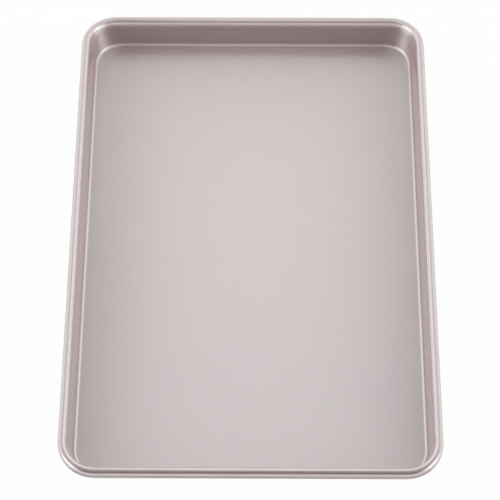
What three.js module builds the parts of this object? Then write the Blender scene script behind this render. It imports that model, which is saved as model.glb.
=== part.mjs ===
// Rimmed baking sheet: a shallow tray pressed from coated steel sheet, its edge rolled round a stiffening wire.
// Millimetres, +Z up. The origin is the middle of the underside, and the long sides run along Y.

import * as THREE from 'three';

// Size over the rolled rim
const OVERALL_WIDTH = 265;
const OVERALL_LENGTH = 395;
const OVERALL_HEIGHT = 25.4;

// Pressed tray
const SHEET_THICKNESS = 0.8;
const FLOOR_CORNER_RADIUS = 15.4; // in plan, where the flat floor ends
const FLOOR_FILLET = 2; // inside radius between the floor and the walls
const WALL_DRAFT = 4; // degrees that the walls lean out, so that the tray leaves the press
const WALL_FLARE = 30; // degrees that they lean out where they meet the rolled rim
const FLARE_RADIUS = 16.5; // of the bend from the one lean to the other

// Stiffening wire and the roll around it
const WIRE_DIAMETER = 4;
const WIRE_CLEARANCE = 0.3; // between the wire and the sheet rolled over it
const WIRE_JOINT_GAP = 1; // between the two cut ends of the wire, which meet in the middle of a long side
const TUCK_LENGTH = 0.9; // straight stretch of the sheet's edge, tucked up under the wire
const TUCK_INSET = 0.4; // from the inner side of the wire's room to the tucked edge, which stands clear of the wall

// Facets
const CORNER_STEPS = 10; // facets round each corner of the tray
const ARC_DIVISIONS = 4; // half the facets on each arc of the section
const SHORTEST_FACET = 0.001; // points of the section that are closer than this count as one
const WIRE_SIDES = 12;

const COATING_COLOUR = 0xc9bbb9;
const WIRE_COLOUR = 0x9a9da0;

const QUARTER_TURN = Math.PI / 2;
const draft = THREE.MathUtils.degToRad(WALL_DRAFT);
const lean = THREE.MathUtils.degToRad(WALL_FLARE);

// The section lies in a plane that stands on the tray's floor and points outward. Its x is the distance
// from the centre that all arcs of one corner share, and its y is the height above the underside.
const wireRoom = WIRE_DIAMETER / 2 + WIRE_CLEARANCE;
const rollRadius = wireRoom + SHEET_THICKNESS;
const fillet = new THREE.Vector2(FLOOR_CORNER_RADIUS, SHEET_THICKNESS + FLOOR_FILLET);

// The wall leans out by the draft from the fillet up to the flare, which touches the wall below and the roll above.
const rollHeight = OVERALL_HEIGHT - rollRadius;
const flareToRoll = FLARE_RADIUS - rollRadius;
const arcsReach = FLOOR_FILLET + FLARE_RADIUS - flareToRoll * Math.cos(lean - draft);
const wallReach = ((rollHeight - fillet.y) * Math.sin(draft) + arcsReach) / Math.cos(draft);
const roll = new THREE.Vector2(fillet.x + wallReach, rollHeight);
const flare = new THREE.Vector2(roll.x + flareToRoll * Math.cos(lean), roll.y - flareToRoll * Math.sin(lean));
const cornerRadius = roll.x + rollRadius;

// Below the wire the sheet curls back and its edge stands up close under the wire, on the wall's side.
const tuckInside = roll.x - wireRoom + TUCK_INSET;
const curlRadius = (cornerRadius - tuckInside) / 2;
const tuckOutside = tuckInside + SHEET_THICKNESS;
const tuckTop = roll.y - Math.sqrt(wireRoom ** 2 - (roll.x - tuckOutside) ** 2);
const curl = new THREE.Vector2(cornerRadius - curlRadius, tuckTop - TUCK_LENGTH);

// Outline of the cut sheet from the floor's upper face, over the rim and back to its underside
function sheetSection() {
  const innerCurl = curlRadius - SHEET_THICKNESS;
  const section = new THREE.Path();
  section.absarc(fillet.x, fillet.y, FLOOR_FILLET, -QUARTER_TURN, -draft, false);
  section.absarc(flare.x, flare.y, FLARE_RADIUS, Math.PI - draft, Math.PI - lean, true);
  section.absarc(roll.x, roll.y, rollRadius, Math.PI - lean, 0, true);
  section.absarc(curl.x, curl.y, curlRadius, 0, -Math.PI, true);
  section.lineTo(tuckInside, tuckTop);
  section.lineTo(tuckOutside, tuckTop);
  section.absarc(curl.x, curl.y, innerCurl, -Math.PI, 0, false);
  section.absarc(roll.x, roll.y, wireRoom, 0, Math.PI - lean, false);
  section.absarc(flare.x, flare.y, FLARE_RADIUS - SHEET_THICKNESS, Math.PI - lean, Math.PI - draft, false);
  section.absarc(fillet.x, fillet.y, FLOOR_FILLET + SHEET_THICKNESS, -draft, -QUARTER_TURN, true);
  const points = section.getPoints(ARC_DIVISIONS);
  return points.filter((point, k) => k === 0 || point.distanceTo(points[k - 1]) > SHORTEST_FACET);
}

// Circle of the wire, in the same plane as the sheet's section
function wireSection() {
  const circle = new THREE.Path();
  circle.absarc(roll.x, roll.y, WIRE_DIAMETER / 2, 0, 2 * Math.PI, false);
  return circle.getSpacedPoints(WIRE_SIDES).slice(0, WIRE_SIDES);
}

// A station is a place on the way round the tray: the centre of its arc and the angle of the section plane.
function cornerStations() {
  const centreX = OVERALL_WIDTH / 2 - cornerRadius;
  const centreY = OVERALL_LENGTH / 2 - cornerRadius;
  const signs = [[1, 1], [-1, 1], [-1, -1], [1, -1]];
  return signs.flatMap(([signX, signY], corner) =>
    Array.from({ length: CORNER_STEPS + 1 }, (_, step) => ({
      x: signX * centreX,
      y: signY * centreY,
      angle: (corner + step / CORNER_STEPS) * QUARTER_TURN,
    })));
}

// The wire starts and ends on the +X side, half the joint gap to each side of its middle.
function wireStations() {
  const corners = cornerStations();
  const start = { ...corners[0], y: WIRE_JOINT_GAP / 2 };
  const end = { ...start, y: -WIRE_JOINT_GAP / 2 };
  return [start, ...corners, end];
}

function pointAt(station, { x: reach, y: height }) {
  const x = station.x + reach * Math.cos(station.angle);
  const y = station.y + reach * Math.sin(station.angle);
  return new THREE.Vector3(x, y, height);
}

// Closed solid through a row of closed rings, with a flat fan over the first ring and the last
function solidFromRings(rings) {
  const count = rings[0].length;
  const middle = (ring) => ring.reduce((sum, point) => sum.add(point), new THREE.Vector3()).divideScalar(count);
  const points = [...rings.flat(), middle(rings[0]), middle(rings.at(-1))];
  const firstMiddle = points.length - 2;
  const lastMiddle = points.length - 1;
  const lastRing = (rings.length - 1) * count;
  const triangles = [];
  for (let k = 0; k < count; k += 1) {
    const next = (k + 1) % count;
    triangles.push(firstMiddle, k, next);
    triangles.push(lastMiddle, lastRing + next, lastRing + k);
    for (let ring = 0; ring < lastRing; ring += count) {
      const over = ring + count;
      triangles.push(ring + k, over + k, over + next);
      triangles.push(ring + k, over + next, ring + next);
    }
  }
  const geometry = new THREE.BufferGeometry().setFromPoints(points);
  geometry.setIndex(triangles);
  geometry.computeVertexNormals();
  return geometry;
}

// Each point of the sheet's section is carried once round the tray, which makes a ring.
function panSheet() {
  const stations = cornerStations();
  const rings = sheetSection().map((point) => stations.map((station) => pointAt(station, point)));
  const coating = new THREE.MeshStandardMaterial({ color: COATING_COLOUR, roughness: 0.42, metalness: 0.55 });
  const mesh = new THREE.Mesh(solidFromRings(rings), coating);
  mesh.name = 'pan_sheet';
  return mesh;
}

// The wire is one length, bent to the rim's outline, with a ring of its circle at each station.
function rimWire() {
  const circle = wireSection();
  const rings = wireStations().map((station) => circle.map((point) => pointAt(station, point)));
  const steel = new THREE.MeshStandardMaterial({ color: WIRE_COLOUR, roughness: 0.35, metalness: 1 });
  const mesh = new THREE.Mesh(solidFromRings(rings), steel);
  mesh.name = 'rim_wire';
  return mesh;
}

const bakingSheet = new THREE.Group();
bakingSheet.add(panSheet(), rimWire());

export default bakingSheet;
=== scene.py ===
"""Rimmed baking sheet of coated steel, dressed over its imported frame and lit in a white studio.

Metres, +Z up. The origin is the middle of the underside, and the long sides run along Y, as in the part.
"""

import math

import bpy
import numpy as np
from mathutils import Matrix, Vector


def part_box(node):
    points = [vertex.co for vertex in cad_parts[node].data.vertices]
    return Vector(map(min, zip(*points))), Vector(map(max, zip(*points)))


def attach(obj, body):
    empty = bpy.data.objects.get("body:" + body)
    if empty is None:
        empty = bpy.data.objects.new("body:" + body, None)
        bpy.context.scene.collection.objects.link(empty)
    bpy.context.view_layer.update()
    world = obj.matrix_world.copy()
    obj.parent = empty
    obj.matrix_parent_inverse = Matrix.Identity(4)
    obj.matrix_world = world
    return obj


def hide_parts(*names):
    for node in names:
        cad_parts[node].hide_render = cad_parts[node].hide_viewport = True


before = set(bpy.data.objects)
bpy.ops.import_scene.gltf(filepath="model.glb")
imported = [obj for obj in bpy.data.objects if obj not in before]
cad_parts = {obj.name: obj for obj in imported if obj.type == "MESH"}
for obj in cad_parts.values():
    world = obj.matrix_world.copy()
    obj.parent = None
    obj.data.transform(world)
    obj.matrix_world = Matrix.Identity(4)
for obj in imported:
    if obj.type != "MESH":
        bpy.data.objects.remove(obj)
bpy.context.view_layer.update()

# Pressed sheet and rolled rim, as the part has them
SHEET = 0.0008
FLOOR_CORNER = 0.0154
FLOOR_FILLET = 0.002
WALL_DRAFT = math.radians(4)
WALL_FLARE = math.radians(30)
FLARE_RADIUS = 0.0165
WIRE_CLEARANCE = 0.0003
WIRE_JOINT_GAP = 0.001
TUCK_LENGTH = 0.0009
TUCK_INSET = 0.0004
CUT_EDGE_ROUNDING = 0.00015

# Added to the corners' radius at the floor, and less and less up to the rim, as the photograph shows
CORNER_EASE = 0.005

# Fineness of the surfaces: counts of rows and columns, and the places of rows on straight stretches
CORNER_COLUMNS = 24
LONG_SIDE_COLUMNS = 34
SHORT_SIDE_COLUMNS = 21
ROLL_ROWS = 32
FILLET_ROWS = 14
FLARE_ROWS = 12
CUT_EDGE_ROWS = 3
WIRE_COLUMNS = 20
STRAIGHT_ROWS = (0.06, 0.5, 0.94)
FLOOR_RINGS = (0.15, 0.4, 0.65, 0.85, 0.95, 0.99)

# Finishes
THIN_COAT = (0.30, 0.185, 0.185, 1)
THICK_COAT = (0.34, 0.21, 0.208, 1)
COAT_ROUGHNESS = 0.29
COAT_IOR = 5.2
DULL_WIRE = (0.42, 0.43, 0.44, 1)
BRIGHT_WIRE = (0.56, 0.57, 0.58, 1)
WHITE = (1, 1, 1, 1)

# Camera that took the photograph, with the picture taken to be 500 pixels square
PICTURE_PIXELS = 500
FOCAL_PIXELS = 2031
CAMERA_AIM = Vector((-0.0013, -0.0023, 0.0))
CAMERA_DISTANCE = 1.503
CAMERA_DOWN = math.radians(58.1)
CAMERA_YAW = math.radians(-0.48)
CAMERA_ROLL = math.radians(-0.2)
FARTHEST_SEEN = 20

# White floor, a little below the tray, and how far the shade beside the tray reaches in the tray's gloss
FLOOR_REACH = 6.0
FLOOR_CLEARANCE = 0.0001
FLOOR_COLOUR = (0.85, 0.85, 0.85, 1)
FLOOR_WHITENESS = 0.97
SIDE_SHADE = 0.004
END_SHADE = 0.035

# Brightness of the tent around the tray and of the lamps at its sides, and the darkness of its opening
TENT_AT_HORIZON = 2.0
TENT_HALFWAY = 1.1
TENT_OVERHEAD = 0.38
SIDE_LAMPS = 1.8
OPENING_DARKNESS = 0.84

# Softbox that hangs in the tent over the tray's far half
SOFTBOX_SIZE = (0.265, 0.61)
SOFTBOX_PLACE = Vector((0.002, 0.195, 0.37))
SOFTBOX_TILT = math.radians(12)
SOFTBOX_BRIGHTNESS = 0.6

QUARTER_TURN = math.pi / 2

half_width, half_length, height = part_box("pan_sheet")[1]
wire_low, wire_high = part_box("rim_wire")
wire_radius = (wire_high[2] - wire_low[2]) / 2

# A point of the section is its distance from the centre that a corner's arcs share, and its height.
wire_room = wire_radius + WIRE_CLEARANCE
roll_radius = wire_room + SHEET
fillet = np.array([FLOOR_CORNER, SHEET + FLOOR_FILLET])

# The wall leans out by the draft up to the flare, which touches the wall below and the roll above.
roll_height = height - roll_radius
flare_to_roll = FLARE_RADIUS - roll_radius
arcs_reach = FLOOR_FILLET + FLARE_RADIUS - flare_to_roll * math.cos(WALL_FLARE - WALL_DRAFT)
wall_reach = ((roll_height - fillet[1]) * math.sin(WALL_DRAFT) + arcs_reach) / math.cos(WALL_DRAFT)
roll = np.array([fillet[0] + wall_reach, roll_height])
flare = roll + flare_to_roll * np.array([math.cos(WALL_FLARE), -math.sin(WALL_FLARE)])
corner_radius = roll[0] + roll_radius
centre_x = half_width - corner_radius
centre_y = half_length - corner_radius

# Below the wire the sheet curls back, and its edge stands up close under the wire on the wall's side.
tuck_inside = roll[0] - wire_room + TUCK_INSET
curl_radius = (corner_radius - tuck_inside) / 2
tuck_outside = tuck_inside + SHEET
tuck_top = roll[1] - math.sqrt(wire_room**2 - (roll[0] - tuck_outside) ** 2)
curl = np.array([corner_radius - curl_radius, tuck_top - TUCK_LENGTH])
rim_bottom = curl[1] - curl_radius


def arc(centre, radius, start, end, rows):
    """Points on a circle round centre, from one angle to another in equal steps."""
    angles = np.linspace(start, end, rows + 1)
    return np.column_stack([centre[0] + radius * np.cos(angles), centre[1] + radius * np.sin(angles)])


def joined(*runs):
    """Runs of points one after the other, with a few points on each straight stretch between two runs.

    The points close to its ends keep a straight stretch flat when the surface is shaded smooth.
    """
    share = np.array(STRAIGHT_ROWS)[:, None]
    rows = [runs[0]]
    for run in runs[1:]:
        start, end = rows[-1][-1], run[0]
        rows += [start + share * (end - start), run]
    return np.concatenate(rows)


def sheet_section():
    """Outline of the cut sheet: up the fillet, the wall and its flare, over the roll and round the curl.

    At the tucked edge it turns round, and it runs back the same way on the sheet's other face.
    """
    edge = CUT_EDGE_ROUNDING
    inner_edge = np.array([tuck_inside + edge, tuck_top - edge])
    outer_edge = np.array([tuck_outside - edge, tuck_top - edge])
    return joined(
        arc(fillet, FLOOR_FILLET, -QUARTER_TURN, -WALL_DRAFT, FILLET_ROWS),
        arc(flare, FLARE_RADIUS, math.pi - WALL_DRAFT, math.pi - WALL_FLARE, FLARE_ROWS)[:-1],
        arc(roll, roll_radius, math.pi - WALL_FLARE, 0, ROLL_ROWS),
        arc(curl, curl_radius, 0, -math.pi, ROLL_ROWS),
        arc(inner_edge, edge, math.pi, QUARTER_TURN, CUT_EDGE_ROWS),
        arc(outer_edge, edge, QUARTER_TURN, 0, CUT_EDGE_ROWS),
        arc(curl, curl_radius - SHEET, -math.pi, 0, ROLL_ROWS),
        arc(roll, wire_room, 0, math.pi - WALL_FLARE, ROLL_ROWS),
        arc(flare, FLARE_RADIUS - SHEET, math.pi - WALL_FLARE, math.pi - WALL_DRAFT, FLARE_ROWS)[1:],
        arc(fillet, FLOOR_FILLET + SHEET, -WALL_DRAFT, -QUARTER_TURN, FILLET_ROWS),
    )


def way_round():
    """Places on the way round the tray, as rows: the centre of the arc (x, y) and the section plane's angle.

    Each corner turns by equal angles about its own centre. Each side runs in equal steps to the next centre.
    """
    centres = np.array([[1, 1], [-1, 1], [-1, -1], [1, -1]]) * (centre_x, centre_y)
    columns = []
    for corner in range(4):
        here, there = centres[corner], centres[(corner + 1) % 4]
        turn = np.linspace(corner, corner + 1, CORNER_COLUMNS + 1) * QUARTER_TURN
        columns.append(np.column_stack([np.tile(here, (turn.size, 1)), turn]))
        steps = (SHORT_SIDE_COLUMNS, LONG_SIDE_COLUMNS)[corner % 2]
        along = np.linspace(0, 1, steps + 1)[1:-1, None]
        side = here + along * (there - here)
        columns.append(np.column_stack([side, np.full(len(side), turn[-1])]))
    return np.concatenate(columns)


def carried(section, places, ease=0.0):
    """Grid of points: row i is the section's point i, moved out along the angle of every place.

    Ease, a length for each point, is added to its radius round the corners and taken off the way to the
    corners' centres, so that the sides stay where they are.
    """
    reach, up = section[:, :1] + ease, section[:, 1:]
    x = places[:, 0] * (1 - ease / centre_x) + reach * np.cos(places[:, 2])
    y = places[:, 1] * (1 - ease / centre_y) + reach * np.sin(places[:, 2])
    return np.stack([x, y, np.broadcast_to(up, x.shape)], axis=-1)


def grid_faces(rows, columns):
    """Four-sided faces between neighbouring rows of a grid whose last column joins its first."""
    row, column = np.meshgrid(np.arange(rows - 1), np.arange(columns), indexing="ij")
    here, beside = row * columns + column, row * columns + (column + 1) % columns
    return np.stack([here, here + columns, beside + columns, beside], axis=-1).reshape(-1, 4)


def ringed_solid(name, grid, material):
    """Object whose surface runs through the grid's rows as closed rings, with a flat face at each end."""
    rows, columns = grid.shape[:2]
    faces = grid_faces(rows, columns).tolist()
    last = (rows - 1) * columns
    faces.append(list(range(columns)))
    faces.append(list(range(last + columns - 1, last - 1, -1)))
    mesh = bpy.data.meshes.new(name)
    mesh.from_pydata(grid.reshape(-1, 3).tolist(), [], faces)
    mesh.shade_smooth()
    mesh.materials.append(material)
    piece = bpy.data.objects.new(name, mesh)
    bpy.context.collection.objects.link(piece)
    return piece


def coated_tray(material):
    """The pressed tray: rings of the floor, then the section carried round, then rings of the underside.

    A ring of the floor is the floor's edge times a factor below 1, at the edge's own height. The ease of the
    corners falls evenly with the height, from all of it at the underside to none at the rim's lower edge.
    """
    section = sheet_section()
    below_rim = np.clip(1 - section[:, 1:] / rim_bottom, 0, 1)
    walls = carried(section, way_round(), CORNER_EASE * below_rim)
    shrink = np.array(FLOOR_RINGS)[:, None, None]
    flat = np.array([1, 1, 0]) * shrink + np.array([0, 0, 1])
    floor = walls[:1] * flat
    underside = walls[-1:] * flat[::-1]
    return ringed_solid("coated_tray", np.concatenate([floor, walls, underside]), material)


def bead_wire(material):
    """The wire in the rim: a circle at each place on the way round, between its cut ends on the +X side."""
    places = way_round()
    start = places[0] * (1, 0, 1) + (0, WIRE_JOINT_GAP / 2, 0)
    end = start * (1, -1, 1)
    turns = np.concatenate([[start], places[places[:, 2] < 4 * QUARTER_TURN], [end]])
    circle = arc(roll, wire_radius, 0, 2 * math.pi, WIRE_COLUMNS)[:-1]
    return ringed_solid("bead_wire", carried(circle, turns).transpose(1, 0, 2), material)


class Socket:
    """A node's output. Arithmetic between such outputs and numbers adds Math nodes to their tree."""

    def __init__(self, tree, output):
        self.tree = tree
        self.output = output

    def math(self, operation, first, second):
        """A Math node on two values."""
        return self.tree.add("ShaderNodeMath", {"operation": operation}, {0: first, 1: second})

    def __add__(self, other):
        return self.math("ADD", self, other)

    __radd__ = __add__

    def __sub__(self, other):
        return self.math("SUBTRACT", self, other)

    def __rsub__(self, other):
        return self.math("SUBTRACT", other, self)

    def __mul__(self, other):
        return self.math("MULTIPLY", self, other)

    __rmul__ = __mul__

    def __abs__(self):
        return self.math("ABSOLUTE", self, 0)


class Tree:
    """The node tree of a material or world, emptied, with one method that adds a node."""

    def __init__(self, owner):
        owner.use_nodes = True
        self.nodes = owner.node_tree.nodes
        self.links = owner.node_tree.links
        self.nodes.clear()

    def add(self, kind, settings=None, inputs=None, output=0):
        """Adds a node with its settings, fills its sockets with values or links, and returns one output."""
        node = self.nodes.new(kind)
        for name, value in (settings or {}).items():
            setattr(node, name, value)
        for name, value in (inputs or {}).items():
            if isinstance(value, Socket):
                self.links.new(value.output, node.inputs[name])
            else:
                node.inputs[name].default_value = value
        return Socket(self, node.outputs[output]) if node.outputs else None

    def blend(self, factor, first, second):
        """Mix of two colours."""
        return self.add("ShaderNodeMix", {"data_type": "RGBA"}, {0: factor, 6: first, 7: second}, output=2)

    def ramp(self, value, low, high):
        """Value from 0 to 1 as the input goes from low to high, with soft ends."""
        soft = {"interpolation_type": "SMOOTHSTEP"}
        return self.add("ShaderNodeMapRange", soft, {"Value": value, "From Min": low, "From Max": high})


def coated_steel():
    """Satin champagne-rose non-stick coating: a rose base under a strong neutral gloss, blurred by flakes.

    Its thickness drifts slowly over the sheet, and its skin has a faint orange peel.
    """
    material = bpy.data.materials.new("coated_steel")
    tree = Tree(material)
    place = tree.add("ShaderNodeTexCoord", output="Object")
    drift = tree.add("ShaderNodeTexNoise", None, {"Vector": place, "Scale": 14.0, "Detail": 3.0})
    flake = tree.add("ShaderNodeTexNoise", None, {"Vector": place, "Scale": 2600.0, "Detail": 1.0})
    peel = tree.add("ShaderNodeTexNoise", None, {"Vector": place, "Scale": 900.0, "Detail": 2.0})
    colour = tree.blend(0.6 * drift + 0.4 * flake, THIN_COAT, THICK_COAT)
    roughness = COAT_ROUGHNESS + 0.05 * (drift - 0.5) + 0.06 * (flake - 0.5)
    bump = tree.add("ShaderNodeBump", None, {"Strength": 0.05, "Distance": 0.0001, "Height": peel})
    gloss = {"Base Color": colour, "Roughness": roughness, "Normal": bump, "IOR": COAT_IOR}
    surface = tree.add("ShaderNodeBsdfPrincipled", None, gloss)
    tree.add("ShaderNodeOutputMaterial", None, {"Surface": surface})
    return material


def wire_steel():
    """Bright drawn steel wire with faint die lines and duller patches."""
    material = bpy.data.materials.new("wire_steel")
    tree = Tree(material)
    place = tree.add("ShaderNodeTexCoord", output="Object")
    patches = tree.add("ShaderNodeTexNoise", None, {"Vector": place, "Scale": 60.0, "Detail": 4.0})
    lines = tree.add("ShaderNodeTexNoise", None, {"Vector": place, "Scale": 3000.0, "Detail": 1.0})
    colour = tree.blend(patches, DULL_WIRE, BRIGHT_WIRE)
    roughness = 0.28 + 0.12 * patches + 0.05 * lines
    metal = {"Base Color": colour, "Roughness": roughness, "Metallic": 1.0}
    surface = tree.add("ShaderNodeBsdfPrincipled", None, metal)
    tree.add("ShaderNodeOutputMaterial", None, {"Surface": surface})
    return material


def studio_floor():
    """White floor: nearly pure white to the eye and, away from the tray, in the tray's gloss.

    A faint trace of the shadow that falls on it stays.
    """
    material = bpy.data.materials.new("studio_floor")
    tree = Tree(material)
    place = tree.add("ShaderNodeTexCoord", output="Object")
    across, along = [tree.add("ShaderNodeSeparateXYZ", None, {0: place}, output=axis) for axis in "XY"]
    beyond_side = tree.ramp(abs(across) - float(half_width), 0.0, SIDE_SHADE)
    beyond_end = tree.ramp(abs(along) - float(half_length), 0.0, END_SHADE)
    away = across.math("MAXIMUM", beyond_side, beyond_end)
    lit = tree.add("ShaderNodeBsdfDiffuse", None, {"Color": FLOOR_COLOUR})
    white = tree.add("ShaderNodeEmission", None, {"Color": WHITE, "Strength": 1.0})
    to_eye = tree.add("ShaderNodeLightPath", output="Is Camera Ray")
    in_gloss = tree.add("ShaderNodeLightPath", output="Is Glossy Ray")
    shown = FLOOR_WHITENESS * to_eye + away * in_gloss
    surface = tree.add("ShaderNodeMixShader", None, {0: shown, 1: lit, 2: white})
    tree.add("ShaderNodeOutputMaterial", None, {"Surface": surface})
    mesh = bpy.data.meshes.new("studio_floor")
    square = np.array([(-1, -1, 0), (1, -1, 0), (1, 1, 0), (-1, 1, 0)])
    corners = square * FLOOR_REACH - (0, 0, FLOOR_CLEARANCE)
    mesh.from_pydata(corners.tolist(), [], [(0, 1, 2, 3)])
    mesh.materials.append(material)
    floor = bpy.data.objects.new("studio_floor", mesh)
    bpy.context.collection.objects.link(floor)


def studio_world():
    """White tent: brightest at the horizon, darker overhead apart from its far shoulders, white to the eye.

    It is open towards the camera, so it is dark there above the horizon, with a lamp on each side.
    """
    world = bpy.data.worlds.new("studio")
    bpy.context.scene.world = world
    tree = Tree(world)
    direction = tree.add("ShaderNodeTexCoord", output="Generated")
    axes = [tree.add("ShaderNodeSeparateXYZ", None, {0: direction}, output=axis) for axis in "XYZ"]
    across, ahead, up = axes
    aside, back = abs(across), -1 * ahead
    low = (TENT_AT_HORIZON - TENT_HALFWAY) * tree.ramp(up, 0.0, 0.25)
    shoulders = tree.ramp(aside, 0.16, 0.32) * tree.ramp(ahead, 0.15, 0.4)
    high = (TENT_HALFWAY - TENT_OVERHEAD) * tree.ramp(up, 0.5, 0.95) * (1 - shoulders)
    opening = OPENING_DARKNESS * tree.ramp(back, 0.2, 0.5) * tree.ramp(up, 0.0, 0.3)
    tent = (TENT_AT_HORIZON - low - high) * (1 - opening)
    sideways = tree.ramp(aside, 0.55, 0.8) * tree.ramp(back, 0.0, 0.2)
    lamps = SIDE_LAMPS * sideways * (1 - tree.ramp(up, 0.45, 0.85))
    light = tent + lamps
    to_eye = tree.add("ShaderNodeLightPath", output="Is Camera Ray")
    strength = light + to_eye * (1 - light)
    surface = tree.add("ShaderNodeBackground", None, {"Color": WHITE, "Strength": strength})
    tree.add("ShaderNodeOutputWorld", None, {"Surface": surface})


def studio_softbox():
    """Oblong lamp with an even face that looks down, its far end raised by SOFTBOX_TILT."""
    lamp = bpy.data.lights.new("softbox", "AREA")
    lamp.shape = "RECTANGLE"
    lamp.size, lamp.size_y = SOFTBOX_SIZE
    lamp.energy = SOFTBOX_BRIGHTNESS * math.pi * SOFTBOX_SIZE[0] * SOFTBOX_SIZE[1]
    box = bpy.data.objects.new("softbox", lamp)
    box.location = SOFTBOX_PLACE
    box.rotation_euler.x = SOFTBOX_TILT
    box.visible_camera = False
    bpy.context.collection.objects.link(box)


def photo_camera():
    """Camera that looks down by CAMERA_DOWN, turned by CAMERA_YAW and rolled about its line of sight."""
    ahead = Vector((
        math.cos(CAMERA_DOWN) * math.sin(CAMERA_YAW),
        math.cos(CAMERA_DOWN) * math.cos(CAMERA_YAW),
        -math.sin(CAMERA_DOWN),
    ))
    level = ahead.cross(Vector((0, 0, 1))).normalized()
    right = Matrix.Rotation(-CAMERA_ROLL, 3, ahead) @ level
    up = right.cross(ahead)
    camera = bpy.data.cameras.new("photo_camera")
    camera.sensor_fit = "HORIZONTAL"
    camera.lens = FOCAL_PIXELS * camera.sensor_width / PICTURE_PIXELS
    camera.clip_end = FARTHEST_SEEN
    holder = bpy.data.objects.new("photo_camera", camera)
    turn = Matrix((right, up, -ahead)).transposed().to_4x4()
    holder.matrix_world = Matrix.Translation(CAMERA_AIM - CAMERA_DISTANCE * ahead) @ turn
    bpy.context.collection.objects.link(holder)
    bpy.context.scene.camera = holder


photo_camera()

tray = coated_tray(coated_steel())
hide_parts("pan_sheet")
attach(tray, "root")

wire = bead_wire(wire_steel())
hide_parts("rim_wire")
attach(wire, "root")

studio_floor()
studio_world()
studio_softbox()
bpy.context.scene.view_settings.view_transform = "Standard"
